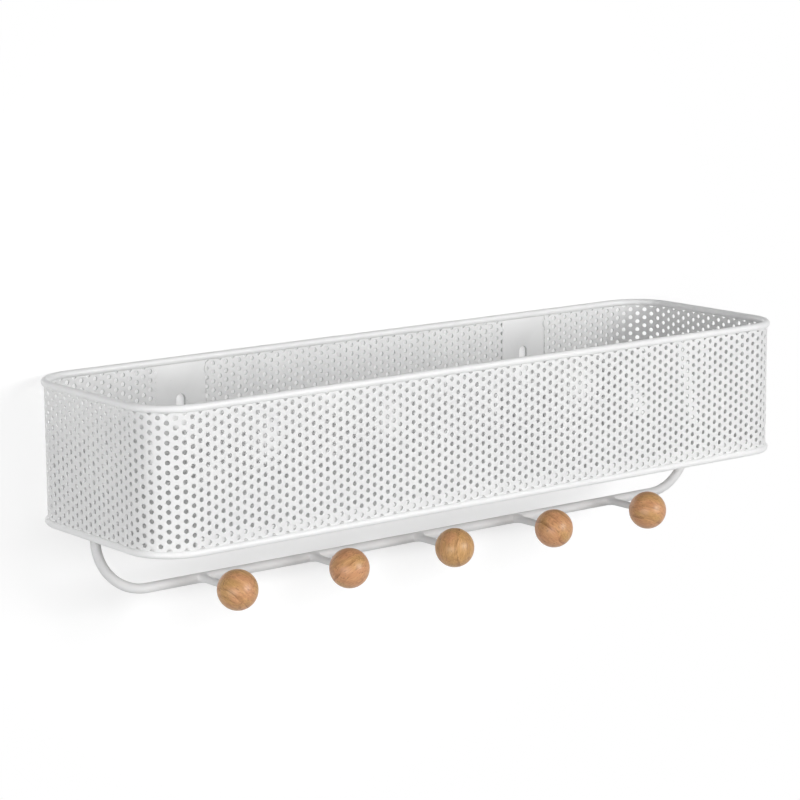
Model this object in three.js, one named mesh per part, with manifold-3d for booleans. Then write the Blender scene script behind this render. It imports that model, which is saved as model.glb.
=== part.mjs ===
// Wall rack with a key holder: a punched steel basket between two wire rims, a bent wire rail
// welded under its floor, and five rod arms that each end in a wooden ball.
// Millimetres, +Z up. The wall is the plane y = 0 and the front of the rack faces -Y.
// The origin lies on the wall, midway between the two screws that the rack hangs on.

import * as THREE from 'three';
import { mergeVertices } from 'three/addons/utils/BufferGeometryUtils.js';
import Module from 'manifold-3d';

const wasm = await Module();
wasm.setup();

// Basket, measured between the centre lines of its rim wires
const rackLength = 320;
const rackDepth = 90;
const rackHeight = 54;
const cornerRadius = 18;
const rimWire = 3;
const sheetThickness = 0.8;
const floorThickness = 0.8;
const floorLip = 3.7;

// Punched pattern, drawn at a wide pitch: columns of holes, every second one with one hole less
const holeDiameter = 5.8;
const rowPitch = 10.6;
const columnPitch = 10.4;
const punchMargin = 0.9;
const holeSides = 6;

// Hanger straps, one under each screw
const screwDrop = 16;
const hangerInset = 52;
const hangerWidth = 24;
const hangerThickness = 1.5;
const keyholeHead = 9;
const keyholeSlot = 4.4;
const keyholeDrop = 8;

// Hook rail and its arms
const railWire = 4;
const railSetback = 39.2;
const railEndInset = 5.3;
const railBendRadius = 22.7;
const railLegLength = 4.1;
const hookCount = 5;
const hookEndMargin = 25;
const hookReach = 24.8;
const armWire = 3;

// Wooden balls
const ballDiameter = 16;
const ballBoreDepth = 8;
const ballMouthFlat = 4.4;

// Clearances
const weldGap = 0.3;
const seamGap = 0.3;
const boreClearance = 0.2;

// Facets
const rimSides = 10;
const rodSides = 12;
const ballSides = 18;
const ballArcSteps = 10;
const cornerSteps = 6;
const railBendSteps = 8;
const keyholeSteps = 12;

// Places that follow from the sizes
const topRimZ = screwDrop;
const bottomRimZ = topRimZ - rackHeight;
const backY = -rimWire / 2;
const frontY = backY - rackDepth;
const endX = rackLength / 2;
const straightHalfLength = endX - cornerRadius;
const bendBackY = backY - cornerRadius;
const bendFrontY = frontY + cornerRadius;
const sheetTopZ = topRimZ - rimWire / 2 - weldGap;
const sheetBottomZ = bottomRimZ + rimWire / 2 + weldGap;
const floorUnderZ = sheetBottomZ;
const hangerX = straightHalfLength - hangerInset;
const railTopZ = floorUnderZ - weldGap;
const railZ = railTopZ - railLegLength - railBendRadius;
const railEndX = endX - railEndInset;
const railStraightHalf = railEndX - railBendRadius;
const hookSpacing = (2 * (railStraightHalf - hookEndMargin)) / (hookCount - 1);
const railY = -railSetback;
const ballY = railY - hookReach;
const ballRadius = ballDiameter / 2;
const armRadius = armWire / 2;
const bendLength = (cornerRadius * Math.PI) / 2;
const bendFacet = Math.PI / 2 / columnsIn(bendLength);
const bendDip = (cornerRadius - sheetThickness / 2) * (1 - Math.cos(bendFacet / 2));

const powderWhite = { color: 0xf1f1ef, roughness: 0.55, metalness: 0.0 };
const railWhite = { color: 0xe9eae8, roughness: 0.5, metalness: 0.0 };
const beech = { color: 0xc99a68, roughness: 0.6, metalness: 0.0 };

// Collects triangles and gives them back as one closed geometry whose faces point out.
class Shell {
  constructor() {
    this.positions = [];
  }

  triangle(a, b, c) {
    this.positions.push(...a, ...b, ...c);
  }

  quad(a, b, c, d) {
    this.triangle(a, b, c);
    this.triangle(a, c, d);
  }

  geometry() {
    const geometry = new THREE.BufferGeometry();
    geometry.setAttribute('position', new THREE.Float32BufferAttribute(this.positions, 3));
    return facingOut(geometry);
  }
}

function signedVolume(geometry) {
  const corners = geometry.toNonIndexed().getAttribute('position');
  const [a, b, c] = [new THREE.Vector3(), new THREE.Vector3(), new THREE.Vector3()];
  let volume = 0;
  for (let i = 0; i < corners.count; i += 3) {
    a.fromBufferAttribute(corners, i);
    b.fromBufferAttribute(corners, i + 1);
    c.fromBufferAttribute(corners, i + 2);
    volume += a.dot(b.cross(c)) / 6;
  }
  return volume;
}

function facingOut(geometry) {
  const bare = new THREE.BufferGeometry();
  bare.setAttribute('position', geometry.getAttribute('position').clone());
  if (geometry.index) bare.setIndex(geometry.index.clone());
  const merged = mergeVertices(bare, 1e-4);
  const index = merged.index.array;
  if (signedVolume(merged) < 0) {
    for (let i = 0; i < index.length; i += 3) [index[i], index[i + 1]] = [index[i + 1], index[i]];
  }
  merged.computeVertexNormals();
  return merged;
}

function toManifold(geometry) {
  return new wasm.Manifold(new wasm.Mesh({
    numProp: 3,
    vertProperties: new Float32Array(geometry.getAttribute('position').array),
    triVerts: new Uint32Array(geometry.index.array),
  }));
}

function fromManifold(solid) {
  const mesh = solid.getMesh();
  const geometry = new THREE.BufferGeometry();
  geometry.setAttribute('position', new THREE.Float32BufferAttribute(mesh.vertProperties, 3));
  geometry.setIndex(new THREE.Uint32BufferAttribute(mesh.triVerts, 1));
  return facingOut(geometry);
}

// The sheet is laid out flat as a strip: s runs along the wall, z up, and a run's place function
// puts a point of the strip, with its distance out of the middle of the sheet, in the rack.
function straightRun(startX, startY, directionX, directionY) {
  return (s, out, z) => [
    startX + directionX * s + directionY * out,
    startY + directionY * s - directionX * out,
    z,
  ];
}

function bendRun(centreX, centreY, startAngle) {
  return (s, out, z) => {
    const angle = startAngle + s / cornerRadius;
    const reach = cornerRadius + out;
    return [centreX + reach * Math.cos(angle), centreY + reach * Math.sin(angle), z];
  };
}

function holeHeights(lessOne) {
  const room = sheetTopZ - sheetBottomZ - 2 * punchMargin - holeDiameter;
  const fullRows = Math.floor(room / rowPitch) + 1;
  const rows = lessOne ? fullRows - 1 : fullRows;
  const middle = (sheetTopZ + sheetBottomZ) / 2;
  return Array.from({ length: rows }, (_, row) => middle + (row - (rows - 1) / 2) * rowPitch);
}

function holeOutline(centreS, centreZ) {
  return Array.from({ length: holeSides }, (_, corner) => {
    const angle = (corner * 2 * Math.PI) / holeSides;
    return new THREE.Vector2(
      centreS + (holeDiameter / 2) * Math.cos(angle),
      centreZ + (holeDiameter / 2) * Math.sin(angle),
    );
  });
}

// One column of the strip: a plain rectangle with its own row of holes, triangulated once and
// used for the outer and the inner face, with walls through the sheet around each hole.
function addColumn(shell, place, fromS, toS, lessOne) {
  const half = sheetThickness / 2;
  const contour = [
    new THREE.Vector2(fromS, sheetBottomZ), new THREE.Vector2(toS, sheetBottomZ),
    new THREE.Vector2(toS, sheetTopZ), new THREE.Vector2(fromS, sheetTopZ),
  ];
  const holes = holeHeights(lessOne).map((z) => holeOutline((fromS + toS) / 2, z));
  const flat = [contour, ...holes].flat();
  const outer = flat.map((point) => place(point.x, half, point.y));
  const inner = flat.map((point) => place(point.x, -half, point.y));
  for (const [a, b, c] of THREE.ShapeUtils.triangulateShape(contour, holes)) {
    shell.triangle(outer[a], outer[b], outer[c]);
    shell.triangle(inner[c], inner[b], inner[a]);
  }
  shell.quad(outer[0], inner[0], inner[1], outer[1]);
  shell.quad(outer[2], inner[2], inner[3], outer[3]);
  for (let first = contour.length; first < flat.length; first += holeSides) {
    for (let corner = 0; corner < holeSides; corner += 1) {
      const a = first + corner;
      const b = first + ((corner + 1) % holeSides);
      shell.quad(outer[a], outer[b], inner[b], inner[a]);
    }
  }
}

function addSheetEnd(shell, place, s, isStart) {
  const half = sheetThickness / 2;
  const [a, b] = [place(s, half, sheetBottomZ), place(s, half, sheetTopZ)];
  const [c, d] = [place(s, -half, sheetTopZ), place(s, -half, sheetBottomZ)];
  if (isStart) shell.quad(a, b, c, d);
  else shell.quad(d, c, b, a);
}

// A run of punched sheet of the given length; firstColumn keeps the stagger going round the rack.
function punchedRun(place, length, firstColumn) {
  const shell = new Shell();
  const start = seamGap / 2;
  const usable = length - seamGap;
  const columns = columnsIn(length);
  const edge = (column) => start + (usable * column) / columns;
  for (let column = 0; column < columns; column += 1) {
    addColumn(shell, place, edge(column), edge(column + 1), (firstColumn + column) % 2 === 1);
  }
  addSheetEnd(shell, place, edge(0), true);
  addSheetEnd(shell, place, edge(columns), false);
  return shell.geometry();
}

function columnsIn(length) {
  return Math.max(1, Math.round(length / columnPitch));
}

// A round rod through rings that are given by a centre and the two axes of their section.
function roundRod(stations, radius, sides, closed) {
  const shell = new Shell();
  const rings = stations.map(({ centre, u, v }) => Array.from({ length: sides }, (_, k) => {
    const angle = ((k + 0.5) * 2 * Math.PI) / sides;
    return centre.clone()
      .addScaledVector(u, radius * Math.cos(angle))
      .addScaledVector(v, radius * Math.sin(angle))
      .toArray();
  }));
  const last = closed ? rings.length : rings.length - 1;
  for (let i = 0; i < last; i += 1) {
    const [near, far] = [rings[i], rings[(i + 1) % rings.length]];
    for (let k = 0; k < sides; k += 1) {
      const next = (k + 1) % sides;
      shell.quad(near[k], near[next], far[next], far[k]);
    }
  }
  if (!closed) {
    const [start, end] = [rings[0], rings[rings.length - 1]];
    for (let k = 1; k < sides - 1; k += 1) {
      shell.triangle(start[0], start[k + 1], start[k]);
      shell.triangle(end[0], end[k], end[k + 1]);
    }
  }
  return shell.geometry();
}

// Rim wire: a closed ring around the basket's rounded rectangle.
function rimRing(z) {
  const centres = [
    [straightHalfLength, bendFrontY, -Math.PI / 2],
    [straightHalfLength, bendBackY, 0],
    [-straightHalfLength, bendBackY, Math.PI / 2],
    [-straightHalfLength, bendFrontY, Math.PI],
  ];
  const stations = centres.flatMap(([x, y, startAngle]) => (
    Array.from({ length: cornerSteps + 1 }, (_, step) => {
      const angle = startAngle + ((Math.PI / 2) * step) / cornerSteps;
      const u = new THREE.Vector3(Math.cos(angle), Math.sin(angle), 0);
      const centre = new THREE.Vector3(x, y, z).addScaledVector(u, cornerRadius);
      return { centre, u, v: new THREE.Vector3(0, 0, 1) };
    })));
  return roundRod(stations, rimWire / 2, rimSides, true);
}

// Rail: one wire, two short legs under the floor and a quarter bend into the level bar.
function hookRail() {
  const bendZ = railZ + railBendRadius;
  const v = new THREE.Vector3(0, 1, 0);
  const bend = (side) => Array.from({ length: railBendSteps + 1 }, (_, step) => {
    const angle = ((Math.PI / 2) * step) / railBendSteps;
    const u = new THREE.Vector3(side * Math.cos(angle), 0, -Math.sin(angle));
    const centre = new THREE.Vector3(side * railStraightHalf, railY, bendZ);
    return { centre: centre.addScaledVector(u, railBendRadius), u, v };
  });
  const top = (side) => ({
    centre: new THREE.Vector3(side * railEndX, railY, railTopZ),
    u: new THREE.Vector3(side, 0, 0),
    v,
  });
  const left = [top(-1), ...bend(-1)];
  const right = [top(1), ...bend(1)].reverse();
  return roundRod([...left, ...right], railWire / 2, rodSides, false);
}

// Arm: a straight rod whose back end is coped to sit on the round of the rail.
function hookArm() {
  const boreEnd = hookReach - ballRadius + ballBoreDepth - boreClearance;
  const rod = new THREE.CylinderGeometry(armRadius, armRadius, boreEnd, rodSides);
  rod.translate(0, -boreEnd / 2, 0);
  const copeRadius = railWire / 2 + weldGap;
  const copeLength = 2 * armWire;
  const cope = new THREE.CylinderGeometry(copeRadius, copeRadius, copeLength, 2 * rodSides);
  cope.rotateZ(Math.PI / 2);
  const solids = [rod, cope].map((geometry) => toManifold(facingOut(geometry)));
  return fromManifold(solids[0].subtract(solids[1]));
}

// Ball: turned wood with a small flat and a blind bore where the arm goes in, bore facing +Y.
function woodBall() {
  const boreRadius = armRadius + boreClearance;
  const mouthAngle = Math.asin(ballMouthFlat / 2 / ballRadius);
  const mouthY = ballRadius * Math.cos(mouthAngle);
  const profile = [
    new THREE.Vector2(0, ballRadius - ballBoreDepth),
    new THREE.Vector2(boreRadius, ballRadius - ballBoreDepth),
    new THREE.Vector2(boreRadius, mouthY),
  ];
  for (let step = 0; step < ballArcSteps; step += 1) {
    const angle = mouthAngle + ((Math.PI - mouthAngle) * step) / ballArcSteps;
    profile.push(new THREE.Vector2(ballRadius * Math.sin(angle), ballRadius * Math.cos(angle)));
  }
  profile.push(new THREE.Vector2(0, -ballRadius));
  return facingOut(new THREE.LatheGeometry(profile, ballSides));
}

// Floor: a tray of plain sheet that rests on the bottom rim, with a lip turned up behind the
// straight run of the front wall and of the back wall. Its corners step in at the ends of the
// lips, and stay clear of the flats that the bent wall is made of.
function floorPanel() {
  const inset = sheetThickness / 2 + weldGap;
  const radius = cornerRadius - inset - bendDip;
  const [nearY, farY] = [frontY + inset, backY - inset];
  const outline = new THREE.Shape();
  outline.moveTo(-straightHalfLength, nearY);
  outline.lineTo(straightHalfLength, nearY);
  outline.absarc(straightHalfLength, bendFrontY, radius, -Math.PI / 2, 0);
  outline.absarc(straightHalfLength, bendBackY, radius, 0, Math.PI / 2);
  outline.lineTo(straightHalfLength, farY);
  outline.lineTo(-straightHalfLength, farY);
  outline.absarc(-straightHalfLength, bendBackY, radius, Math.PI / 2, Math.PI);
  outline.absarc(-straightHalfLength, bendFrontY, radius, Math.PI, 1.5 * Math.PI);
  outline.closePath();
  const plate = new THREE.ExtrudeGeometry(outline, {
    depth: floorThickness, bevelEnabled: false, curveSegments: cornerSteps,
  });
  const lips = [nearY + floorThickness / 2, farY - floorThickness / 2].map((y) => (
    new THREE.BoxGeometry(2 * straightHalfLength, floorThickness, floorLip)
      .translate(0, y, floorLip / 2)));
  const [base, ...turnedUp] = [plate, ...lips].map((piece) => toManifold(facingOut(piece)));
  return fromManifold(turnedUp.reduce((tray, lip) => tray.add(lip), base));
}

// Hanger strap: runs from rim to rim with its back on the wall, and has a keyhole whose slot
// ends at the screw. The outline is drawn in x and z and extruded through the strap.
function hangerStrap() {
  const halfWidth = hangerWidth / 2 - seamGap / 2;
  const outline = new THREE.Shape([
    new THREE.Vector2(-halfWidth, sheetBottomZ), new THREE.Vector2(halfWidth, sheetBottomZ),
    new THREE.Vector2(halfWidth, sheetTopZ), new THREE.Vector2(-halfWidth, sheetTopZ),
  ]);
  const [headRadius, slotRadius] = [keyholeHead / 2, keyholeSlot / 2];
  const shoulder = Math.asin(slotRadius / headRadius);
  const keyhole = new THREE.Path();
  keyhole.absarc(0, 0, slotRadius, 0, Math.PI);
  keyhole.absarc(0, -keyholeDrop, headRadius, Math.PI / 2 + shoulder, 2.5 * Math.PI - shoulder);
  keyhole.closePath();
  outline.holes.push(keyhole);
  const plate = new THREE.ExtrudeGeometry(outline, {
    depth: hangerThickness, bevelEnabled: false, curveSegments: keyholeSteps,
  });
  plate.rotateX(Math.PI / 2);
  return facingOut(plate);
}

const rack = new THREE.Group();

function add(name, geometry, finish, x = 0, y = 0, z = 0) {
  const mesh = new THREE.Mesh(geometry, new THREE.MeshStandardMaterial(finish));
  mesh.name = name;
  mesh.position.set(x, y, z);
  rack.add(mesh);
}

// The wall is one strip on the real rack. It is divided where it starts to bend and at the
// straps, and it is walked round from the front left bend line, anticlockwise from above.
const sideLength = rackDepth - 2 * cornerRadius;
const frontLength = 2 * straightHalfLength;
const backSideLength = hangerInset - hangerWidth / 2;
const backMiddleLength = 2 * (hangerX - hangerWidth / 2);
const wallRuns = [
  ['wall_front', straightRun(-straightHalfLength, frontY, 1, 0), frontLength],
  ['bend_front_right', bendRun(straightHalfLength, bendFrontY, -Math.PI / 2), bendLength],
  ['wall_right', straightRun(endX, bendFrontY, 0, 1), sideLength],
  ['bend_back_right', bendRun(straightHalfLength, bendBackY, 0), bendLength],
  ['wall_back_right', straightRun(straightHalfLength, backY, -1, 0), backSideLength],
  ['wall_back_middle', straightRun(hangerX - hangerWidth / 2, backY, -1, 0), backMiddleLength],
  ['wall_back_left', straightRun(-hangerX - hangerWidth / 2, backY, -1, 0), backSideLength],
  ['bend_back_left', bendRun(-straightHalfLength, bendBackY, Math.PI / 2), bendLength],
  ['wall_left', straightRun(-endX, bendBackY, 0, -1), sideLength],
  ['bend_front_left', bendRun(-straightHalfLength, bendFrontY, Math.PI), bendLength],
];

let firstColumn = 0;
for (const [name, place, length] of wallRuns) {
  add(name, punchedRun(place, length, firstColumn), powderWhite);
  firstColumn += columnsIn(length);
}

add('top_rim', rimRing(topRimZ), powderWhite);
add('bottom_rim', rimRing(bottomRimZ), powderWhite);
add('floor_panel', floorPanel(), powderWhite, 0, 0, floorUnderZ);
add('hanger_strap_left', hangerStrap(), powderWhite, -hangerX);
add('hanger_strap_right', hangerStrap(), powderWhite, hangerX);
add('hook_rail', hookRail(), railWhite);

for (let hook = 0; hook < hookCount; hook += 1) {
  const x = (hook - (hookCount - 1) / 2) * hookSpacing;
  add(`hook_arm_${hook + 1}`, hookArm(), railWhite, x, railY, railZ);
  add(`wood_ball_${hook + 1}`, woodBall(), beech, x, ballY, railZ);
}

export default rack;
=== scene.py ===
# %% [markdown]
# # A wall rack with a key holder
# The real rack is a long shallow basket of punched white steel between two wire rims. A bent
# wire rail is welded under its floor, and five rod arms leave the rail, each with a turned
# wooden ball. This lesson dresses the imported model: every solid already stands in its place,
# so each new piece is built around it, in metres, and says which solids it stands for.

# %% Load the frame
import math

import bmesh
import bpy
from mathutils import Matrix, Vector


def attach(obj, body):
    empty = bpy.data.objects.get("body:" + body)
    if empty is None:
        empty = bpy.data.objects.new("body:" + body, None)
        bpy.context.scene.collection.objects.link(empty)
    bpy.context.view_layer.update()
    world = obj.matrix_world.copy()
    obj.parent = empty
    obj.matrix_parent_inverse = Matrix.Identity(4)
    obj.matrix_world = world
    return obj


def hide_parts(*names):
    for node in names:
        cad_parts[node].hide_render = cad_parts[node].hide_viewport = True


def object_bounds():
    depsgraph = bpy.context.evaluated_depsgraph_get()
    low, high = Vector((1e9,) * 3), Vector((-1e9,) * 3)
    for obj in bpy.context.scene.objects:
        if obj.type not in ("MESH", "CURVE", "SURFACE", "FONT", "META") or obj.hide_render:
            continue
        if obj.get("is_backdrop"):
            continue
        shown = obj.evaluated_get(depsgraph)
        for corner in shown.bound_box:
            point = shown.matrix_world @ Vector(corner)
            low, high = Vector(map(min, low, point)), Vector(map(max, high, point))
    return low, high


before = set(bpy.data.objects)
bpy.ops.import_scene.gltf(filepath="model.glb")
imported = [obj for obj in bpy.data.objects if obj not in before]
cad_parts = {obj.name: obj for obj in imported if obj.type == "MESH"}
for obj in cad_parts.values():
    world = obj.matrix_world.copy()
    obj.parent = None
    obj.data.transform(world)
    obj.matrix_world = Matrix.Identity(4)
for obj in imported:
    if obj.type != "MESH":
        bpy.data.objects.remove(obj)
cad_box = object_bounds()
MM = 0.001
print("solids in the frame:", len(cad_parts))

# %% [markdown]
# ## The camera
# A camera is a place, a direction and a lens. These came from lining up the rims, the rail and
# the balls with the photograph, so they are plain measured numbers. The long lens keeps the
# far end of the rack almost as tall as the near end.

# %% Camera at the photograph's viewing angle
camera_place = Vector((-672.64, -891.21, 196.44)) * MM
camera_yaw = math.radians(37.943)
camera_pitch = math.radians(10.553)
camera_roll = math.radians(-0.384)
camera_lens_mm = 121.306
film_width_mm = 36
view_distance = 20

forward = Vector((
    math.sin(camera_yaw) * math.cos(camera_pitch),
    math.cos(camera_yaw) * math.cos(camera_pitch),
    -math.sin(camera_pitch),
))
level_right = Vector((math.cos(camera_yaw), -math.sin(camera_yaw), 0))
level_up = level_right.cross(forward)
camera_right = level_right * math.cos(camera_roll) + level_up * math.sin(camera_roll)
camera_up = camera_right.cross(forward)

camera = bpy.data.objects.new("camera", bpy.data.cameras.new("camera"))
camera.data.sensor_width = film_width_mm
camera.data.lens = camera_lens_mm
camera.data.clip_end = view_distance
camera.matrix_world = Matrix.Translation(camera_place) @ Matrix(
    (camera_right, camera_up, -forward)).transposed().to_4x4()
bpy.context.scene.collection.objects.link(camera)
bpy.context.scene.camera = camera
print("camera looks along", [round(value, 3) for value in forward])

# %% [markdown]
# ## Helpers for working as by hand
# An operator acts on whatever is selected, so each piece starts from an empty selection.
# Vertices, edges and faces are picked in code, by where they are.

# %% Selection helpers
def clear_selection():
    if bpy.context.object and bpy.context.object.mode != "OBJECT":
        bpy.ops.object.mode_set(mode="OBJECT")
    bpy.ops.object.select_all(action="DESELECT")


def work_on(piece):
    clear_selection()
    piece.select_set(True)
    bpy.context.view_layer.objects.active = piece


def edit(piece, select="VERT"):
    work_on(piece)
    bpy.ops.object.mode_set(mode="EDIT")
    bpy.ops.mesh.select_mode(type=select)
    bpy.ops.mesh.select_all(action="DESELECT")


def pick(piece, kind, wanted):
    """Selects the verts, edges or faces whose middle is where wanted(point) says."""
    mesh = bmesh.from_edit_mesh(piece.data)
    for part in getattr(mesh, kind):
        if kind == "verts":
            middle = part.co
        elif kind == "edges":
            middle = (part.verts[0].co + part.verts[1].co) / 2
        else:
            middle = part.calc_center_median()
        part.select_set(wanted(middle))
    mesh.select_flush_mode()
    bmesh.update_edit_mesh(piece.data)


print("selected after loading:", len(bpy.context.selected_objects))
clear_selection()
print("selected after clearing:", len(bpy.context.selected_objects))

# %% [markdown]
# A few more helpers stand for steps that come back on every piece: extrude, write the place and
# the modifiers into the mesh, copy, merge vertices that coincide, turn the faces outward and
# shade smooth. Two distances say when vertices are the same and how exact a cut is.

# %% Shaping helpers
same_point = 0.001 * MM
cut_accuracy = 0.01 * MM


def extrude(move=(0, 0, 0), scale=(1, 1, 1), about=(0, 0, 0)):
    """Extrudes the selection, moves it, and scales it about a point."""
    bpy.ops.mesh.extrude_region_move(TRANSFORM_OT_translate={"value": move})
    bpy.ops.transform.resize(value=scale, center_override=about)


def apply_place(piece):
    work_on(piece)
    bpy.ops.object.transform_apply(location=True, rotation=True, scale=True)


def apply_modifiers(piece):
    work_on(piece)
    for modifier in list(piece.modifiers):
        bpy.ops.object.modifier_apply(modifier=modifier.name)


def copy_of(piece, name, move=(0, 0, 0)):
    """A copy with its own mesh, its place written into the mesh."""
    work_on(piece)
    bpy.ops.object.duplicate(linked=False)
    twin = bpy.context.object
    twin.name = twin.data.name = name
    twin.location = Vector(move)
    apply_place(twin)
    return twin


def merge_close(piece):
    edit(piece)
    bpy.ops.mesh.select_all(action="SELECT")
    bpy.ops.mesh.remove_doubles(threshold=same_point)
    clear_selection()


def face_outward(piece):
    edit(piece)
    bpy.ops.mesh.select_all(action="SELECT")
    bpy.ops.mesh.normals_make_consistent(inside=False)
    clear_selection()


def smooth(piece, degrees=40):
    work_on(piece)
    bpy.ops.object.shade_smooth_by_angle(angle=math.radians(degrees))


print("vertices count as one within", round(same_point / MM, 4), "mm")

# %% [markdown]
# An edge of a closed piece has exactly two faces. Counting the other edges shows whether a piece
# is closed, and counting triangles shows what it costs.

# %% Measuring helpers
def open_edges(piece):
    edges = bmesh.new()
    edges.from_mesh(piece.data)
    count = sum(not edge.is_manifold for edge in edges.edges)
    edges.free()
    return count


def report(piece):
    triangles = sum(len(face.vertices) - 2 for face in piece.data.polygons)
    print(f"{piece.name}: {triangles} triangles, {open_edges(piece)} open edges")


# %% [markdown]
# ## One line round the basket
# The rims and the punched wall all follow the same rounded rectangle. It is drawn once, as a
# closed line of points that starts in the middle of the back and runs past the left end, the
# front and the right end. Wires are a round section swept along it, and the punched strip is
# bent along it, just as the real strip is bent round a former.

# %% Sizes that the basket shares with the frame
rack_length = 320 * MM
rack_depth = 90 * MM
corner_radius = 18 * MM
rim_radius = 1.5 * MM
top_rim_z = 16 * MM
bottom_rim_z = -38 * MM
back_y = -rim_radius
front_y = back_y - rack_depth
corner_steps = 28


def rounded_rectangle():
    """Points of the line, its corners as quarter circles."""
    half_x = rack_length / 2 - corner_radius
    near, far = front_y + corner_radius, back_y - corner_radius
    corners = [(-half_x, far, 90), (-half_x, near, 180), (half_x, near, 270), (half_x, far, 0)]
    points = [Vector((0, back_y, 0))]
    for x, y, start in corners:
        for step in range(corner_steps + 1):
            angle = math.radians(start + 90 * step / corner_steps)
            points.append(Vector((
                x + corner_radius * math.cos(angle), y + corner_radius * math.sin(angle), 0)))
    return points


def length_round(points):
    return sum((b - a).length for a, b in zip(points, points[1:] + points[:1]))


def draw_line(name, points, closed=False, z=0.0, radii=None):
    """A poly line as a curve object."""
    curve = bpy.data.curves.new(name, "CURVE")
    curve.dimensions = "3D"
    curve.twist_mode = "Z_UP"
    spline = curve.splines.new("POLY")
    spline.points.add(len(points) - 1)
    for index, (knot, place) in enumerate(zip(spline.points, points)):
        knot.co = (place.x, place.y, place.z + z, 1)
        knot.radius = radii[index] if radii else 1
    spline.use_cyclic_u = closed
    line = bpy.data.objects.new(name, curve)
    bpy.context.scene.collection.objects.link(line)
    return line


wall_line = rounded_rectangle()
wall_length = length_round(wall_line)
print("length round the basket in mm:", round(wall_length / MM, 2))

# %% [markdown]
# ## The punched sheet, hole by hole
# The real wall is one strip of perforated steel with round holes in a staggered pattern. The
# pattern's cell is a hexagon with a hole in it, so one hexagon is modelled carefully, with the
# small rounded lip that paint leaves on a hole's edge. Two columns of cells, one half a pitch
# lower than the other, then make the unit that is repeated all the way round.

# %% One hexagonal cell
hole_pitch = 3.66 * MM
half_side = math.radians(30)
column_step = hole_pitch * math.cos(half_side)
cell_radius = hole_pitch / math.sqrt(3)
hole_radius = 0.93 * MM
hole_sides = 12
lip = 0.13 * MM
sheet_thickness = 0.8 * MM
wall_middle_z = (top_rim_z + bottom_rim_z) / 2


def hexagon_cell():
    clear_selection()
    bpy.ops.mesh.primitive_circle_add(
        vertices=hole_sides, radius=cell_radius, fill_type="NOTHING",
        location=(0, -sheet_thickness / 2, 0), rotation=(math.pi / 2, 0, 0))
    cell = bpy.context.object
    cell.name = "cell"
    apply_place(cell)
    edit(cell, "EDGE")
    bpy.ops.mesh.select_all(action="SELECT")
    reach = cell_radius
    rings = [(0, hole_radius + lip), (lip, hole_radius), (sheet_thickness - 2 * lip, hole_radius),
             (lip, hole_radius + lip), (0, cell_radius)]
    for depth, radius in rings:
        share = radius / reach
        extrude(move=(0, depth, 0), scale=(share, 1, share))
        reach = radius
    bpy.ops.mesh.select_mode(type="VERT")
    flat_share = math.cos(half_side)
    half_way = (hole_radius + lip + cell_radius) / 2

    def middle_of_a_side(point):
        turn = math.atan2(point.z, point.x) / half_side
        return math.hypot(point.x, point.z) > half_way and round(turn) % 2 == 1

    pick(cell, "verts", middle_of_a_side)
    bpy.ops.transform.resize(value=(flat_share, 1, flat_share), center_override=(0, 0, 0))
    clear_selection()
    return cell


cell = hexagon_cell()
print("cell:", len(cell.data.polygons), "faces, holes", round(hole_pitch / MM, 2), "mm apart")

# %% [markdown]
# An Array modifier repeats the cell up the wall and another repeats the two columns along it.
# The ends of the columns are left as they fall, because they end inside the rim wires.

# %% Two columns of cells
rows_even = 14
rows_odd = 15


def repeat(piece, count, offset):
    array = piece.modifiers.new("repeat", "ARRAY")
    array.use_relative_offset = False
    array.use_constant_offset = True
    array.constant_offset_displace = offset
    array.count = count
    array.use_merge_vertices = True
    array.merge_threshold = same_point
    apply_modifiers(piece)


def column(rows, x):
    bottom = wall_middle_z - (rows - 1) / 2 * hole_pitch
    stack = copy_of(cell, "column", (x, 0, bottom))
    repeat(stack, rows, (0, 0, hole_pitch))
    return stack


even = column(rows_even, 0)
odd = column(rows_odd, column_step)
clear_selection()
odd.select_set(True)
even.select_set(True)
bpy.context.view_layer.objects.active = even
bpy.ops.object.join()
unit = even
unit.name = "column_pair"
merge_close(unit)
print("holes in two columns:", rows_even + rows_odd)

# %% [markdown]
# A flat strip is closed before it is bent: the edge of its outer face is extruded through the
# sheet until it meets the inner face. Where a strip stops at a hanger strap it is cut straight
# through, holes and all, as shears would cut it.

# %% Flat strips
strap_x = 90 * MM
strap_width = 24 * MM
pairs_front = 54
pairs_end = 20
pairs_back = 25


def flat_strip(name, pairs, first_x):
    strip = copy_of(unit, name, (first_x, 0, 0))
    repeat(strip, pairs, (2 * column_step, 0, 0))
    merge_close(strip)
    edit(strip, "EDGE")
    bpy.ops.mesh.select_non_manifold(
        extend=False, use_wire=False, use_boundary=True,
        use_multi_face=False, use_non_contiguous=False, use_verts=False)
    mesh = bmesh.from_edit_mesh(strip.data)
    for edge in mesh.edges:
        if edge.select and edge.verts[0].co.y > 0:
            edge.select_set(False)
    bmesh.update_edit_mesh(strip.data)
    extrude(move=(0, sheet_thickness, 0))
    merge_close(strip)
    face_outward(strip)
    return strip


def shear(strip, x, keep_right):
    edit(strip)
    bpy.ops.mesh.select_all(action="SELECT")
    bpy.ops.mesh.bisect(
        plane_co=(x, 0, 0), plane_no=(1, 0, 0), use_fill=True,
        clear_inner=keep_right, clear_outer=not keep_right, threshold=cut_accuracy)
    clear_selection()


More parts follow.
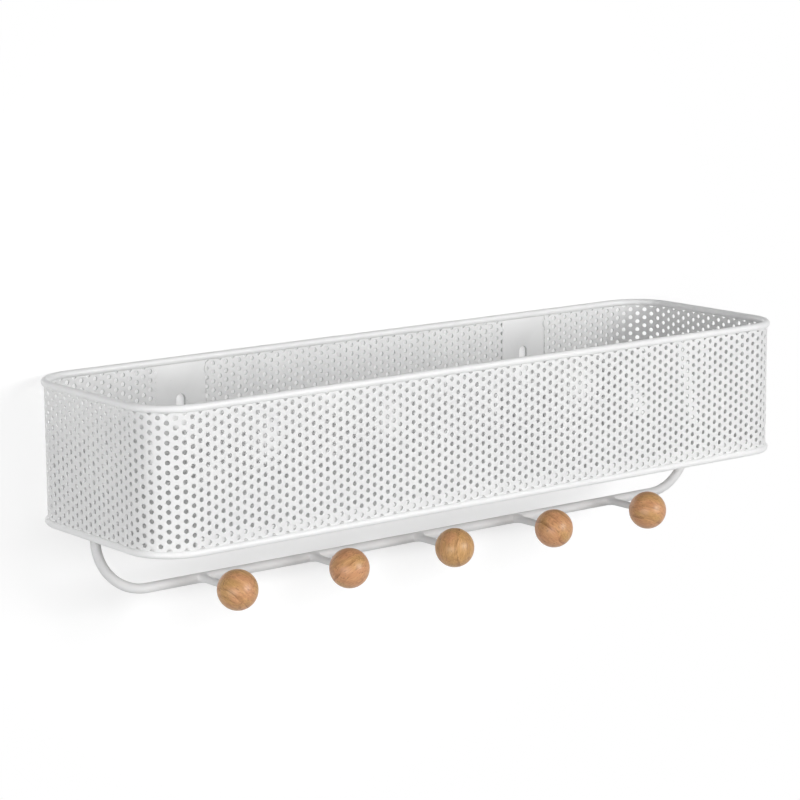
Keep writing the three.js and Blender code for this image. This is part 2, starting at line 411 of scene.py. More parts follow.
first_column = wall_length / 2 - (pairs_front - 0.5) * column_step
left_cut = strap_x + strap_width / 2
front_strip = flat_strip("wall_sheet_front", pairs_front, first_column)
left_strip = flat_strip(
    "wall_sheet_left", pairs_end, first_column - 2 * pairs_end * column_step)
right_strip = flat_strip(
    "wall_sheet_right", pairs_end, first_column + 2 * pairs_front * column_step)
back_strip = flat_strip("wall_sheet_back", pairs_back, -(pairs_back - 0.5) * column_step)
shear(left_strip, left_cut, keep_right=True)
shear(right_strip, wall_length - left_cut, keep_right=False)
shear(back_strip, -strap_x + strap_width / 2, keep_right=True)
shear(back_strip, strap_x - strap_width / 2, keep_right=False)
for strip in (front_strip, left_strip, right_strip, back_strip):
    report(strip)

# %% [markdown]
# The Curve modifier carries a strip along the line: its length runs along the line, and its
# thickness stays square to it. The back strip lies on a straight stretch, so it is only turned
# to face the wall. Weighted normals then let the painted lips shade as rounded edges while the
# sheet between the holes still shades as flat.

# %% Bend the strips round the basket
lip_angle = 60
former = draw_line("former", wall_line, closed=True)
for strip in (front_strip, left_strip, right_strip):
    bend = strip.modifiers.new("bend", "CURVE")
    bend.object = former
    bend.deform_axis = "POS_X"
    apply_modifiers(strip)
back_strip.rotation_euler = (0, 0, math.pi)
back_strip.location = (0, back_y, 0)
apply_place(back_strip)
bpy.data.objects.remove(former)

for strip in (front_strip, left_strip, right_strip, back_strip):
    smooth(strip, lip_angle)
    weights = strip.modifiers.new("flat faces stay flat", "WEIGHTED_NORMAL")
    weights.keep_sharp = True
    apply_modifiers(strip)
    corners = [Vector(corner) / MM for corner in strip.bound_box]
    print(strip.name, "from", [round(min(c[i] for c in corners), 2) for i in range(3)],
          "to", [round(max(c[i] for c in corners), 2) for i in range(3)])

# %% [markdown]
# ## Rim wires
# Each rim is a drawn wire bent into the same rounded rectangle and welded to the edge of the
# sheet. A line with a round section is the simplest way to sweep a wire. It is turned into a
# mesh afterwards, so that its shape is final.

# %% Two rims
def wire(name, points, radius, closed=False, z=0.0, radii=None, sides_step=6):
    """A round wire swept along points, as a closed mesh."""
    line = draw_line(name, points, closed, z, radii)
    line.data.bevel_depth = radius
    line.data.bevel_resolution = sides_step
    line.data.use_fill_caps = not closed
    work_on(line)
    bpy.ops.object.convert(target="MESH")
    rod = bpy.context.object
    rod.name = rod.data.name = name
    merge_close(rod)
    face_outward(rod)
    smooth(rod)
    return rod


top_rim = wire("rim_wire_top", wall_line, rim_radius, closed=True, z=top_rim_z)
bottom_rim = wire("rim_wire_bottom", wall_line, rim_radius, closed=True, z=bottom_rim_z)
report(top_rim)
report(bottom_rim)

# %% [markdown]
# ## The floor tray
# Through the lowest rows of holes the photograph shows pale sheet close behind the front wall.
# That is the lip of a floor tray, turned up along the front and, on the real thing, along the
# back as well. A flat sheet gets rounded corners, its long edges are folded up in small steps,
# and Solidify gives the sheet its thickness.

# %% Floor tray with its two lips
tray_thickness = 0.8 * MM
tray_gap = 0.05 * MM
tray_under_z = bottom_rim_z + rim_radius - tray_gap
tray_fold = 1.2 * MM
tray_lip_top_z = -32.5 * MM
tray_corner = 17.3 * MM
tray_corner_steps = 14
tray_fold_steps = 5
tray_edge = 0.18 * MM
sharp_angle = math.radians(50)
wall_inside = sheet_thickness / 2 + tray_gap


def floor_tray():
    clear_selection()
    bpy.ops.mesh.primitive_plane_add(
        size=1, location=(0, (front_y + back_y) / 2, tray_under_z))
    tray = bpy.context.object
    tray.name = "floor_tray"
    tray.scale = (rack_length - 2 * wall_inside,
                  rack_depth - 2 * (wall_inside + tray_fold), 1)
    apply_place(tray)
    edit(tray)
    bpy.ops.mesh.select_all(action="SELECT")
    bpy.ops.mesh.bevel(
        affect="VERTICES", offset=tray_corner - tray_fold, segments=tray_corner_steps)
    near_edge = front_y + wall_inside + tray_fold
    far_edge = back_y - wall_inside - tray_fold
    bpy.ops.mesh.select_mode(type="EDGE")
    turn = math.radians(90) / tray_fold_steps
    for edge_y, away in ((near_edge, -1), (far_edge, 1)):
        pick(tray, "edges",
             lambda point: abs(point.y - edge_y) < cut_accuracy and abs(point.x) < MM)
        for step in range(tray_fold_steps):
            start, end = turn * step, turn * (step + 1)
            extrude(move=(0, away * tray_fold * (math.sin(end) - math.sin(start)),
                          tray_fold * (math.cos(start) - math.cos(end))))
        extrude(move=(0, 0, tray_lip_top_z - tray_under_z - tray_fold))
    clear_selection()
    faces_up = tray.data.polygons[0].normal.z > 0
    solid = tray.modifiers.new("thickness", "SOLIDIFY")
    solid.thickness = tray_thickness
    solid.offset = 1 if faces_up else -1
    solid.use_even_offset = True
    apply_modifiers(tray)
    face_outward(tray)
    return tray


def soften_edges(piece, width, segments):
    """Rounds the sharp edges as paint does, and shades the piece smooth."""
    edges = piece.modifiers.new("edges", "BEVEL")
    edges.width = width
    edges.segments = segments
    edges.limit_method = "ANGLE"
    edges.angle_limit = sharp_angle
    apply_modifiers(piece)
    smooth(piece)


tray = floor_tray()
soften_edges(tray, tray_edge, segments=2)
report(tray)

# %% [markdown]
# ## Hanger straps
# The back is hidden in the photograph. Two flat straps with keyholes are how such a rack
# usually hangs on two screws, so they stand where the frame has them. The keyhole is cut with a
# Boolean modifier, and a Bevel modifier breaks the edges as paint does.

# %% Strap with a keyhole
strap_thickness = 1.5 * MM
keyhole_head = 4.5 * MM
keyhole_slot = 2.2 * MM
keyhole_drop = 8 * MM
keyhole_sides = 48
cutter_depth = 4 * strap_thickness
strap_edge = 0.25 * MM
strap_to_rim_middle = 0.8 * rim_radius
strap_top_z = top_rim_z - strap_to_rim_middle
strap_bottom_z = bottom_rim_z + strap_to_rim_middle


def strap():
    clear_selection()
    bpy.ops.mesh.primitive_cube_add(
        size=1, location=(0, -strap_thickness / 2, (strap_top_z + strap_bottom_z) / 2))
    plate = bpy.context.object
    plate.name = "hanger_plate"
    plate.scale = (strap_width, strap_thickness, strap_top_z - strap_bottom_z)
    apply_place(plate)
    cuts = []
    for radius, drop in ((keyhole_head, keyhole_drop), (keyhole_slot, 0)):
        clear_selection()
        bpy.ops.mesh.primitive_cylinder_add(
            vertices=keyhole_sides, radius=radius, depth=cutter_depth,
            location=(0, -strap_thickness / 2, -drop), rotation=(math.pi / 2, 0, 0))
        cuts.append(bpy.context.object)
    clear_selection()
    bpy.ops.mesh.primitive_cube_add(
        size=1, location=(0, -strap_thickness / 2, -keyhole_drop / 2))
    cuts.append(bpy.context.object)
    cuts[-1].scale = (2 * keyhole_slot, cutter_depth, keyhole_drop)
    for cutter in cuts:
        apply_place(cutter)
        cut = plate.modifiers.new("cut", "BOOLEAN")
        cut.object = cutter
        cut.solver = "EXACT"
        apply_modifiers(plate)
        bpy.data.objects.remove(cutter)
    merge_close(plate)
    soften_edges(plate, strap_edge, segments=3)
    return plate


plate = strap()
print("strap with its keyhole:", len(plate.data.polygons), "faces")

# %% [markdown]
# The cut edges of the sheet are tacked to the straps from both sides. A tack is a small bead,
# here a sphere pulled long, half sunk in the corner between the sheet and the strap.

# %% Tack welds
tack_fineness = 3
tack_heights = (11 * MM, -11 * MM, -33 * MM)
tack_size = (0.8 * MM, 0.45 * MM, 1.7 * MM)
tack_front_y = -strap_thickness - 0.1 * MM
tack_back_y = -strap_thickness / 2


def tack(x, y, z):
    clear_selection()
    bpy.ops.mesh.primitive_ico_sphere_add(
        subdivisions=tack_fineness, radius=1, location=(x, y, z))
    bead = bpy.context.object
    bead.scale = tack_size
    apply_place(bead)
    smooth(bead)
    return bead


beads = [tack(side * strap_width / 2, y, z)
         for side in (-1, 1) for y in (tack_front_y, tack_back_y) for z in tack_heights]
clear_selection()
for bead in beads:
    bead.select_set(True)
plate.select_set(True)
bpy.context.view_layer.objects.active = plate
bpy.ops.object.join()
print("tacks on a strap:", len(beads))

# %% [markdown]
# The finished plate is copied to both places, and the plate itself then goes.

# %% Two straps
strap_left = copy_of(plate, "strap_left", (-strap_x, 0, 0))
strap_right = copy_of(plate, "strap_right", (strap_x, 0, 0))
bpy.data.objects.remove(plate)
report(strap_left)

# %% [markdown]
# ## Key rail
# One wire is bent twice into a long U and its two legs are welded under the floor. The section
# is swept along a line as for the rims. A weld is not a sharp corner, so the wire flares where
# it meets the floor.

# %% Rail wire
rail_radius = 2 * MM
rail_y = -39.2 * MM
rail_z = -63.3 * MM
rail_end_x = 154.7 * MM
rail_bend = 22.7 * MM
rail_top_z = tray_under_z
weld_flare = [(0.0, 1.85), (0.25, 1.55), (0.6, 1.3), (1.1, 1.13), (1.8, 1.03), (2.6, 1.0)]
bend_steps = 24


def rail_line():
    half = [(Vector((rail_end_x, rail_y, rail_top_z - depth * MM)), swell)
            for depth, swell in weld_flare]
    middle = Vector((rail_end_x - rail_bend, rail_y, rail_z + rail_bend))
    for step in range(bend_steps + 1):
        angle = math.radians(90) * step / bend_steps
        offset = Vector((math.cos(angle), 0, -math.sin(angle))) * rail_bend
        half.append((middle + offset, 1.0))
    mirrored = [(Vector((-place.x, place.y, place.z)), swell) for place, swell in half]
    whole = mirrored + half[::-1]
    return [place for place, swell in whole], [swell for place, swell in whole]


rail_points, rail_swell = rail_line()
rail = wire("key_rail", rail_points, rail_radius, radii=rail_swell, sides_step=8)
report(rail)

# %% [markdown]
# ## Arms
# Each arm is a straight rod welded square to the rail. The weld spreads sideways along the
# rail much more than up and down, so the rod starts as a wide ellipse inside the rail and draws
# in to a circle. One arm is modelled, then copied to the other four places.

# %% Arm with its weld
arm_radius = 1.5 * MM
ball_y = -64 * MM
ball_radius = 8 * MM
bore_depth = 8 * MM
bore_spare = 0.4 * MM
arm_sides = 28
hook_count = 5
hook_spacing = 53.5 * MM
hook_places = [(number - (hook_count - 1) / 2) * hook_spacing for number in range(hook_count)]
arm_end_y = ball_y + ball_radius - bore_depth + bore_spare
arm_weld = [
    (0.6, 3.7, 1.9), (1.5, 3.5, 1.88), (1.9, 2.95, 1.8), (2.3, 2.5, 1.7),
    (2.9, 2.05, 1.6), (3.7, 1.7, 1.53), (4.7, 1.52, 1.5), (5.6, 1.5, 1.5),
]


def rod_arm():
    clear_selection()
    first_reach, first_wide, first_high = arm_weld[0]
    bpy.ops.mesh.primitive_circle_add(
        vertices=arm_sides, radius=arm_radius, fill_type="NGON",
        location=(0, rail_y - first_reach * MM, rail_z), rotation=(math.pi / 2, 0, 0))
    arm = bpy.context.object
    arm.name = "arm"
    apply_place(arm)
    edit(arm, "FACE")
    bpy.ops.mesh.select_all(action="SELECT")
    wide, high = arm_radius / MM, arm_radius / MM
    bpy.ops.transform.resize(
        value=(first_wide / wide, 1, first_high / high),
        center_override=(0, rail_y, rail_z))
    reach, wide, high = first_reach, first_wide, first_high
    for next_reach, next_wide, next_high in arm_weld[1:]:
        extrude(move=(0, -(next_reach - reach) * MM, 0),
                scale=(next_wide / wide, 1, next_high / high), about=(0, rail_y, rail_z))
        reach, wide, high = next_reach, next_wide, next_high
    extrude(move=(0, arm_end_y - (rail_y - reach * MM), 0))
    clear_selection()
    merge_close(arm)
    face_outward(arm)
    smooth(arm)
    return arm


arm = rod_arm()
arms = [copy_of(arm, f"key_arm_{number + 1}", (x, 0, 0)) for number, x in enumerate(hook_places)]
bpy.data.objects.remove(arm)
report(arms[0])

# %% [markdown]
# ## Wooden balls
# A ball is turned from beech, faced flat at the back and drilled for the arm. It starts as an
# icosphere, whose triangles are even all over, so that no pole pinches the grain. A plane cuts
# the flat and the face that closes the cut is drawn in and pushed back to make the bore.

# %% Turned ball
mouth_radius = 2.3 * MM
bore_radius = 1.56 * MM
ball_fineness = 6
mouth_angle = 50


def turned_ball():
    clear_selection()
    bpy.ops.mesh.primitive_ico_sphere_add(
        subdivisions=ball_fineness, radius=ball_radius, location=(0, 0, 0))
    ball = bpy.context.object
    ball.name = "ball"
    edit(ball)
    bpy.ops.mesh.select_all(action="SELECT")
    flat_y = math.sqrt(ball_radius ** 2 - mouth_radius ** 2)
    bpy.ops.mesh.bisect(
        plane_co=(0, flat_y, 0), plane_no=(0, 1, 0), use_fill=True, clear_outer=True,
        threshold=cut_accuracy)
    bpy.ops.mesh.select_mode(type="FACE")
    pick(ball, "faces", lambda point: point.y > flat_y - same_point)
    share = bore_radius / mouth_radius
    extrude(scale=(share, 1, share), about=(0, flat_y, 0))
    extrude(move=(0, -(flat_y - ball_radius + bore_depth), 0))
    clear_selection()
    merge_close(ball)
    face_outward(ball)
    smooth(ball, mouth_angle)
    return ball


ball = turned_ball()
balls = [copy_of(ball, f"beech_ball_{number + 1}", (x, ball_y, rail_z))
         for number, x in enumerate(hook_places)]
bpy.data.objects.remove(ball)
report(balls[0])

# %% [markdown]
# The cell and the pair of columns were only patterns, so they leave the scene before it is
# dressed.

# %% Clear the patterns away
for leftover in (cell, unit):
    print("no longer needed:", leftover.name)
    bpy.data.objects.remove(leftover)

# %% [markdown]
# ## Node helpers
# A material is a tree of nodes. Small helpers keep the cells short: one adds a node with its
# settings and inputs, three add the nodes that are used most, one makes a node group with named
# sockets, and one makes a material round a group.

# %% Node helpers
def add_node(tree, kind, inputs=None, **settings):
    node = tree.nodes.new("ShaderNode" + kind)
    for key, value in settings.items():
        setattr(node, key, value)
    for key, value in (inputs or {}).items():
        if isinstance(value, bpy.types.NodeSocket):
            tree.links.new(value, node.inputs[key])
        else:
            node.inputs[key].default_value = value
    return node


def maths(tree, operation, first, second=0.0, third=0.0, clamp=False):
    node = add_node(tree, "Math", {0: first, 1: second, 2: third}, operation=operation)
    node.use_clamp = clamp
    return node.outputs[0]


def blend_colours(tree, factor, first, second, mode="MIX"):
    node = add_node(tree, "Mix", data_type="RGBA", blend_type=mode)
    for socket, value in ((0, factor), (6, first), (7, second)):
        if isinstance(value, bpy.types.NodeSocket):
            tree.links.new(value, node.inputs[socket])
        else:
            node.inputs[socket].default_value = value
    return node.outputs[2]


def ramp(tree, value, low, high):
    """Maps low..high smoothly to 0..1."""
    return add_node(tree, "MapRange", {"Value": value, "From Min": low, "From Max": high},
                    interpolation_type="SMOOTHSTEP").outputs[0]


def new_group(name, inputs, outputs):
    group = bpy.data.node_groups.new(name, "ShaderNodeTree")
    for label, kind, value in inputs:
        socket = group.interface.new_socket(
            name=label, in_out="INPUT", socket_type="NodeSocket" + kind)
        if value is not None:
            socket.default_value = value
    for label, kind in outputs:
        group.interface.new_socket(
            name=label, in_out="OUTPUT", socket_type="NodeSocket" + kind)
    return group, group.nodes.new("NodeGroupInput"), group.nodes.new("NodeGroupOutput")


def new_finish(name, group, values, bump, ior):
    """A material whose shader takes its colour, roughness and relief from a group."""
    material = bpy.data.materials.new(name)
    material.use_nodes = True
    tree = material.node_tree
    shader = tree.nodes["Principled BSDF"]
    pattern = tree.nodes.new("ShaderNodeGroup")
    pattern.node_tree = group
    for label, value in values.items():
        pattern.inputs[label].default_value = value
    relief = add_node(tree, "Bump", {
        "Height": pattern.outputs["Height"], "Strength": 1.0, "Distance": bump})
    tree.links.new(pattern.outputs["Color"], shader.inputs["Base Color"])
    tree.links.new(pattern.outputs["Roughness"], shader.inputs["Roughness"])
    tree.links.new(relief.outputs["Normal"], shader.inputs["Normal"])
    shader.inputs["IOR"].default_value = ior
    place = add_node(tree, "TexCoord").outputs["Object"]
    return material, pattern, place


print("node helpers:", [tool.__name__ for tool in (
    add_node, maths, blend_colours, ramp, new_group, new_finish)])

# %% [markdown]
# ## White powder coat
# Powder melts on the steel as a thick satin skin. Close to, it has a fine orange peel, a
# slightly uneven gloss and now and then a speck. The group gives a colour, a roughness and a
# height, in millimetres of Object coordinates, and each material feeds them to its own shader.

# %% Powder coat group
coat_group, coat_in, coat_out = new_group(
    "powder_coat",
    [("Vector", "Vector", None), ("Paint", "Color", (0.84, 0.84, 0.835, 1)),
     ("Peel size", "Float", 1.1), ("Roughness", "Float", 0.42)],
    [("Color", "Color"), ("Roughness", "Float"), ("Height", "Float")])

in_mm = add_node(coat_group, "VectorMath", {0: coat_in.outputs["Vector"], "Scale": 1 / MM},
                 operation="SCALE").outputs[0]
peel_frequency = maths(coat_group, "DIVIDE", 1.0, coat_in.outputs["Peel size"])
peel = add_node(coat_group, "TexNoise", {
    "Vector": in_mm, "Scale": peel_frequency, "Detail": 2.0, "Roughness": 0.5})
grit = add_node(coat_group, "TexNoise", {"Vector": in_mm, "Scale": 5.0, "Detail": 1.0})
cloud = add_node(coat_group, "TexNoise", {"Vector": in_mm, "Scale": 0.03, "Detail": 3.0})
specks = add_node(coat_group, "TexVoronoi", {"Vector": in_mm, "Scale": 0.16})
speck = ramp(coat_group, specks.outputs["Distance"], 0.045, 0.02)
tone = ramp(coat_group, cloud.outputs["Fac"], 0.3, 0.7)
thin_coat = (0.965, 0.965, 0.97, 1)
speck_colour = (0.5, 0.49, 0.47, 1)
speck_share = maths(coat_group, "MULTIPLY", speck, 0.35)
darker = blend_colours(coat_group, 1.0, coat_in.outputs["Paint"], thin_coat, "MULTIPLY")
paint = blend_colours(coat_group, tone, darker, coat_in.outputs["Paint"])
dusted = blend_colours(coat_group, speck_share, paint, speck_colour)
uneven = maths(coat_group, "MULTIPLY_ADD", peel.outputs["Fac"], 0.12,
               maths(coat_group, "SUBTRACT", coat_in.outputs["Roughness"], 0.06))
height = maths(coat_group, "MULTIPLY_ADD", grit.outputs["Fac"], 0.16, peel.outputs["Fac"])
coat_group.links.new(dusted, coat_out.inputs["Color"])
coat_group.links.new(uneven, coat_out.inputs["Roughness"])
coat_group.links.new(height, coat_out.inputs["Height"])
print("powder coat group:", len(coat_group.nodes), "nodes")

# %% [markdown]
# The three finishes share the coat. The rims' paint is lighter than the sheet's, as painted light
# for rims that catch the light, and the rail's paint is darker, as painted shade for a rail that
# hangs in the shade under the basket; the rail's skin is also duller.

# %% Painted finishes, with painted light on the rims and painted shade on the rail
def painted(name, paint, peel_size, roughness, bump, ior):
    material, coat, place = new_finish(
        name, coat_group,
        {"Paint": (*paint, 1), "Peel size": peel_size, "Roughness": roughness}, bump, ior)
    material.node_tree.links.new(place, coat.inputs["Vector"])
    print(name, "paint", paint, "roughness", roughness)
    return material


sheet_paint = painted("white_coat_on_sheet", paint=(0.82, 0.82, 0.815), peel_size=1.1,
                      roughness=0.44, bump=0.016 * MM, ior=1.5)
# The wire's paint is lighter than the sheet's: painted light that makes the rims look brighter.
wire_paint_with_painted_light = painted("white_coat_with_painted_light_on_wire", paint=(0.89, 0.89, 0.885), peel_size=1.4,
                     roughness=0.42, bump=0.012 * MM, ior=1.6)
# The rail's paint is darker than the sheet's: painted shade for the rail and arms under the basket.
rail_paint_with_painted_shade = painted("white_coat_with_painted_shade_on_rail", paint=(0.80, 0.80, 0.797), peel_size=1.4,
                     roughness=0.56, bump=0.012 * MM, ior=1.5)

# %% [markdown]
# ## Turned beech
# Beech is a fine plain wood: fibres that show as short streaks, growth rings that each end in a
# darker line, small dark dashes along the grain, and a warm tone that wanders from straw to
# pink. A ball is cut from a stick, so its rings are layers of cylinders round a pith that lies
# beside the ball. The group works in millimetres, with the grain along its Z.

# %% Beech group
beech_group, beech_in, beech_out = new_group(
    "beech_grain",
    [("Vector", "Vector", None), ("Ring spacing", "Float", 2.3), ("Main ring", "Float", 25.0),
     ("Straw", "Color", (0.59, 0.333, 0.127, 1)), ("Pink", "Color", (0.63, 0.31, 0.15, 1)),
     ("Line", "Color", (0.25, 0.095, 0.035, 1)), ("Pinkness", "Float", 0.0),
     ("Seed", "Float", 0.0)],
    [("Color", "Color"), ("Roughness", "Float"), ("Height", "Float")])


def scaled(tree, vector, factors):
    return add_node(tree, "VectorMath", {0: vector, 1: factors}, operation="MULTIPLY").outputs[0]


def noise(tree, vector, scale, detail=2.0, roughness=0.5):
    return add_node(tree, "TexNoise", {
        "Vector": vector, "Scale": scale, "Detail": detail, "Roughness": roughness}).outputs


def fill_beech_group(tree, taken, given):
    shift = add_node(tree, "CombineXYZ", {"X": taken["Seed"], "Y": 3.0, "Z": 7.0}).outputs[0]
    place = add_node(tree, "VectorMath", {0: taken["Vector"], 1: shift}, operation="ADD").outputs[0]

    sway = noise(tree, scaled(tree, place, (1.0, 1.0, 0.45)), 0.14, 3.0)["Color"]
    swayed = add_node(tree, "VectorMath", {0: sway, 1: (4.5, 4.5, 0.0), 2: taken["Vector"]},
                      operation="MULTIPLY_ADD").outputs[0]
    reach = add_node(tree, "VectorMath", {0: scaled(tree, swayed, (1.0, 1.0, 0.0))},
                     operation="LENGTH").outputs["Value"]
    beyond_main = maths(tree, "SUBTRACT", reach, taken["Main ring"])
    count = maths(tree, "DIVIDE", beyond_main, taken["Ring spacing"])
    late_wood = maths(tree, "POWER", maths(tree, "FRACT", count), 4.0)
    number = maths(tree, "FLOOR", count)
    chance = add_node(tree, "TexWhiteNoise", {"W": maths(tree, "ADD", number, taken["Seed"])},
                      noise_dimensions="1D").outputs["Value"]
    weight = maths(tree, "MULTIPLY_ADD", chance, 0.5, 0.15)
    is_main = maths(tree, "COMPARE", number, -1.0, 0.5)
    weight = maths(tree, "MAXIMUM", weight, maths(tree, "MULTIPLY", is_main, 0.85))
    broken = ramp(tree, noise(tree, scaled(tree, place, (1.0, 1.0, 0.3)), 0.5)["Fac"], 0.3, 0.62)
    ring = maths(tree, "MULTIPLY", maths(tree, "MULTIPLY", late_wood, weight), broken)

    fibre = noise(tree, scaled(tree, place, (1.0, 1.0, 0.13)), 1.3, 5.0, 0.66)["Fac"]
    patch = ramp(tree, noise(tree, place, 0.22, 2.0)["Fac"], 0.35, 0.65)
    dark_fibre = maths(tree, "MULTIPLY", ramp(tree, fibre, 0.48, 0.68), 0.4)
    dark_fibre = maths(tree, "MULTIPLY", dark_fibre, maths(tree, "MULTIPLY_ADD", patch, 0.7, 0.3))
    light_fibre = maths(tree, "MULTIPLY", ramp(tree, fibre, 0.5, 0.34), 0.42)
    dashes = noise(tree, scaled(tree, place, (1.9, 1.9, 0.5)), 1.0, 1.0)["Fac"]
    dash = maths(tree, "MULTIPLY", ramp(tree, dashes, 0.59, 0.71), 0.46)

    tone = noise(tree, scaled(tree, place, (1.0, 1.0, 0.4)), 0.16)["Fac"]
    tone = ramp(tree, maths(tree, "ADD", tone, taken["Pinkness"]), 0.36, 0.64)
    colour = blend_colours(tree, tone, taken["Straw"], taken["Pink"])
    colour = blend_colours(tree, light_fibre, colour, (0.82, 0.50, 0.25, 1))
    for share in (dark_fibre, dash, ring):
        colour = blend_colours(tree, share, colour, taken["Line"])
    tree.links.new(colour, given["Color"])
    tree.links.new(maths(tree, "MULTIPLY_ADD", fibre, 0.20, 0.30), given["Roughness"])
    tree.links.new(maths(tree, "SUBTRACT", fibre, dash), given["Height"])


fill_beech_group(beech_group, beech_in.outputs, beech_out.inputs)
print("beech group:", len(beech_group.nodes), "nodes")

# %% [markdown]
# Every ball is a different bit of the stick, so each gets its own grain direction, its own side
# on which the pith lies, and its own ring spacing. Where the pith lies behind the visible side
# the rings show as wide arcs, and where it lies beside it they show as close lines.

# %% One finish for each ball
pith_distance = 24.0
seed_step = 11.0
wood_bump = 0.03 * MM
varnish_ior = 1.5
ball_grain = [
    {"grain": (0.63, -0.60, -0.49), "pith": (0.49, -0.18, 0.85), "main": 25.6, "spacing": 2.4,
     "pinkness": -0.04},
    {"grain": (0.71, -0.42, 0.56), "pith": (-0.36, 0.47, 0.80), "main": 23.0, "spacing": 3.0,
     "pinkness": 0.08},
    {"grain": (0.10, 0.10, 1.00), "pith": (-0.79, 0.62, 0.02), "main": 24.6, "spacing": 4.0,
     "pinkness": -0.14},
    {"grain": (0.51, -0.55, -0.66), "pith": (0.61, -0.31, 0.73), "main": 24.9, "spacing": 4.2,
     "pinkness": 0.05},
    {"grain": (0.73, -0.63, -0.26), "pith": (0.32, -0.02, 0.95), "main": 26.9, "spacing": 3.4,
     "pinkness": 0.08},
]


def beech(name, centre, seed, grain, pith, main, spacing, pinkness):
    along = Vector(grain).normalized()
    toward_pith = (Vector(pith) - along * Vector(pith).dot(along)).normalized()
    axes = Matrix((toward_pith, along.cross(toward_pith), along)).transposed()
    material, wood, place = new_finish(
        name, beech_group,
        {"Pinkness": pinkness, "Seed": seed, "Main ring": main, "Ring spacing": spacing},
        wood_bump, varnish_ior)
    tree = material.node_tree
    turned = add_node(tree, "Mapping", {
        "Vector": place, "Location": centre, "Rotation": axes.to_euler(),
        "Scale": (MM, MM, MM)}, vector_type="TEXTURE").outputs[0]
    from_pith = add_node(tree, "VectorMath", {0: turned, 1: (-pith_distance, 0, 0)},
                         operation="ADD").outputs[0]
    tree.links.new(from_pith, wood.inputs["Vector"])
    return material


ball_finishes = [
    beech(f"beech_{number + 1}", (x, ball_y, rail_z), seed_step * number, **ball_grain[number])
    for number, x in enumerate(hook_places)]
print("wood finishes:", [finish.name for finish in ball_finishes])

# %% [markdown]
# ## Put the pieces in the frame
# Every piece rides on the rack's one body, names the solids it stands for, which are hidden, and
# takes its finish.

# %% Ride, replace, paint
def place_piece(piece, slot_name, finish, *solids):
    piece.data.materials.clear()
    piece.data.materials.append(finish)
    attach(piece, "root")
    if solids:
        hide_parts(*solids)


place_piece(front_strip, "basket_steel", sheet_paint,
            "wall_front", "bend_front_left", "bend_front_right")
place_piece(left_strip, "basket_steel", sheet_paint,
            "wall_left", "bend_back_left", "wall_back_left")
place_piece(right_strip, "basket_steel", sheet_paint,
            "wall_right", "bend_back_right", "wall_back_right")
place_piece(back_strip, "basket_steel", sheet_paint, "wall_back_middle")
place_piece(tray, "basket_steel", sheet_paint, "floor_panel")
place_piece(strap_left, "basket_steel", sheet_paint, "hanger_strap_left")
place_piece(strap_right, "basket_steel", sheet_paint, "hanger_strap_right")
place_piece(top_rim, "wire_steel", wire_paint_with_painted_light, "top_rim")
place_piece(bottom_rim, "wire_steel", wire_paint_with_painted_light, "bottom_rim")
place_piece(rail, "wire_steel", rail_paint_with_painted_shade, "hook_rail")
for number in range(hook_count):
    place_piece(arms[number], "wire_steel", rail_paint_with_painted_shade, f"hook_arm_{number + 1}")
    place_piece(balls[number], "beech", ball_finishes[number], f"wood_ball_{number + 1}")

# %% [markdown]
# ## Wall, floor and light
# The rack hangs on a pale wall above a pale floor. From the front the camera sees the wall with
# the rack's soft shadow on it, and from behind it sees through the wall. Light passes the wall
# freely, so the back of the rack is lit as well. Away from the rack both planes turn to plain
# white, so that no edge of the room shows.

# %% Wall and floor
def stage_plane(name, centre, size, rotation):
    clear_selection()
    bpy.ops.mesh.primitive_plane_add(size=size, location=centre, rotation=rotation)
    plane = bpy.context.object
    plane.name = name
    apply_place(plane)
    plane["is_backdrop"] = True
    return plane


wall_gap = 0.3 * MM
wall_size = 6
floor_z = -1.25
floor_size = 8
wall = stage_plane("room_wall", (0, wall_gap, 0), wall_size, (math.pi / 2, 0, 0))
floor = stage_plane("room_floor", (0, 0, floor_z), floor_size, (0, 0, 0))
print("room planes:", wall.name, floor.name)

# %% [markdown]
# A plane of the room is matt and gives off some light of its own, so that its shadows stay pale.
# The first number of a fade is how far from its middle a plane begins to turn white, and the
# second how far away it is all white.

# %% Wall and floor finishes
wall_fade = (0.08, 0.22)
floor_fade = (0.3, 0.9)


def seen_directly(tree):
    """1 for rays from the camera, off gloss and through glass, 0 for those that bring light."""
    rays = add_node(tree, "LightPath").outputs
    seen = maths(tree, "ADD", rays["Is Camera Ray"], rays["Is Glossy Ray"], clamp=True)
    return maths(tree, "ADD", seen, rays["Is Transmission Ray"], clamp=True)


def shadow_catcher(name, own_light, colour, middle_z, fade, see_through):
    material = bpy.data.materials.new(name)
    material.use_nodes = True
    tree = material.node_tree
    tree.nodes.clear()
    seen = seen_directly(tree)
    if see_through:
        back = add_node(tree, "NewGeometry").outputs["Backfacing"]
        seen = maths(tree, "MULTIPLY", seen, maths(tree, "SUBTRACT", 1.0, back))
    glow = add_node(tree, "Emission", {"Color": (1, 1, 1, 1), "Strength": own_light}).outputs[0]
    matt = add_node(tree, "BsdfDiffuse", {"Color": (colour, colour, colour, 1)}).outputs[0]
    lit = add_node(tree, "AddShader", {0: glow, 1: matt}).outputs[0]
    place = add_node(tree, "TexCoord").outputs["Object"]
    reach = add_node(tree, "VectorMath", {0: place, 1: (0, 0, middle_z)},
                     operation="DISTANCE").outputs["Value"]
    far = ramp(tree, reach, *fade)
    white = add_node(tree, "Emission", {"Color": (1, 1, 1, 1), "Strength": 1.0}).outputs[0]
    lit = add_node(tree, "MixShader", {0: far, 1: lit, 2: white}).outputs[0]
    unseen = add_node(tree, "BsdfTransparent").outputs[0] if see_through else matt
    mixed = add_node(tree, "MixShader", {0: seen, 1: unseen, 2: lit}).outputs[0]
    add_node(tree, "OutputMaterial", {"Surface": mixed})
    return material


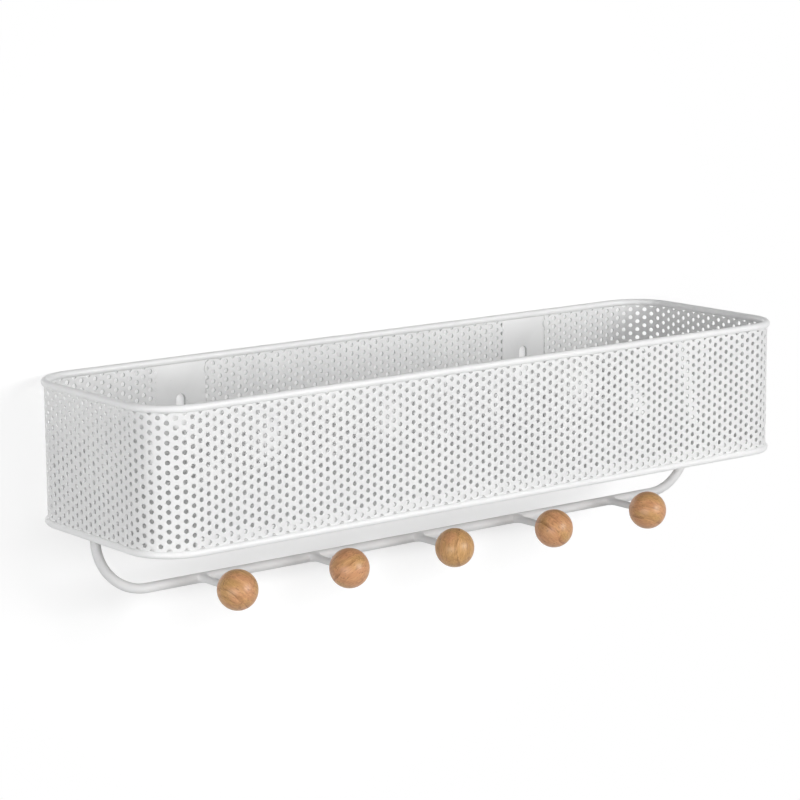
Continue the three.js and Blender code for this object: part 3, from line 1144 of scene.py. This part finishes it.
wall.data.materials.append(shadow_catcher(
    "pale_wall", own_light=0.27, colour=0.79, middle_z=0, fade=wall_fade, see_through=True))
floor.data.materials.append(shadow_catcher(
    "pale_floor", own_light=0.70, colour=0.5, middle_z=floor_z, fade=floor_fade,
    see_through=False))
print("all white from", wall_fade[1], "m off the wall's middle")

# %% [markdown]
# Large lamps at a distance give soft light. The main lamp stands a little to the right, so that
# each ball has its soft highlight on the right. One from the left lights the left end, a weak one
# from the left and above fills the basket, and the last lights the back. The lamps in front are
# low, so that the inside of the basket stays darker than its front and the holes show.

# %% Soft light
lamp_distance = 1.8
lamp_aim = Vector((0, -0.05, -0.03))


def soft_box(name, turn, height, size, power):
    """A lamp that faces the rack; turn is degrees to the right of straight in front."""
    turn, height = math.radians(turn), math.radians(height)
    away = Vector((math.sin(turn) * math.cos(height), -math.cos(turn) * math.cos(height),
                   math.sin(height)))
    lamp = bpy.data.objects.new(name, bpy.data.lights.new(name, "AREA"))
    lamp.data.shape = "RECTANGLE"
    lamp.data.size, lamp.data.size_y = size
    lamp.data.energy = power
    lamp.location = lamp_aim + away * lamp_distance
    lamp.rotation_euler = away.to_track_quat("Z", "Y").to_euler()
    bpy.context.scene.collection.objects.link(lamp)
    print(name, "at", [round(value, 2) for value in lamp.location], "with", power, "W")


soft_box("main_light", turn=20, height=14, size=(0.9, 0.6), power=20.5)
soft_box("left_light", turn=-60, height=0, size=(1.8, 0.6), power=17)
soft_box("fill_light", turn=-80, height=38, size=(1.2, 0.6), power=4)
soft_box("back_light", turn=165, height=6, size=(1.8, 0.6), power=18)

# %% [markdown]
# The world lights the rack dimly and evenly, and what the camera sees of it is plain white.

# %% World
room_colour = (0.97, 0.985, 1.0, 1)
room_strength = 0.18
world = bpy.data.worlds.new("room_light")
bpy.context.scene.world = world
world.use_nodes = True
tree = world.node_tree
tree.nodes.clear()
room = add_node(tree, "Background", {
    "Color": room_colour, "Strength": room_strength}).outputs[0]
white = add_node(tree, "Background", {"Color": (1, 1, 1, 1), "Strength": 1.0}).outputs[0]
mixed = add_node(tree, "MixShader", {0: seen_directly(tree), 1: room, 2: white}).outputs[0]
add_node(tree, "OutputWorld", {"Surface": mixed})
bpy.context.scene.view_settings.view_transform = "Standard"
print("world light:", room_strength)

# %% [markdown]
# ## The sizes
# The new pieces should fill the same box as the solids, so both boxes are kept and printed.

# %% Print both boxes
bpy.context.view_layer.update()
model_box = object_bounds()
for label, box in (("frame", cad_box), ("model", model_box)):
    print(label, "box in mm", [[round(value / MM, 2) for value in corner] for corner in box])
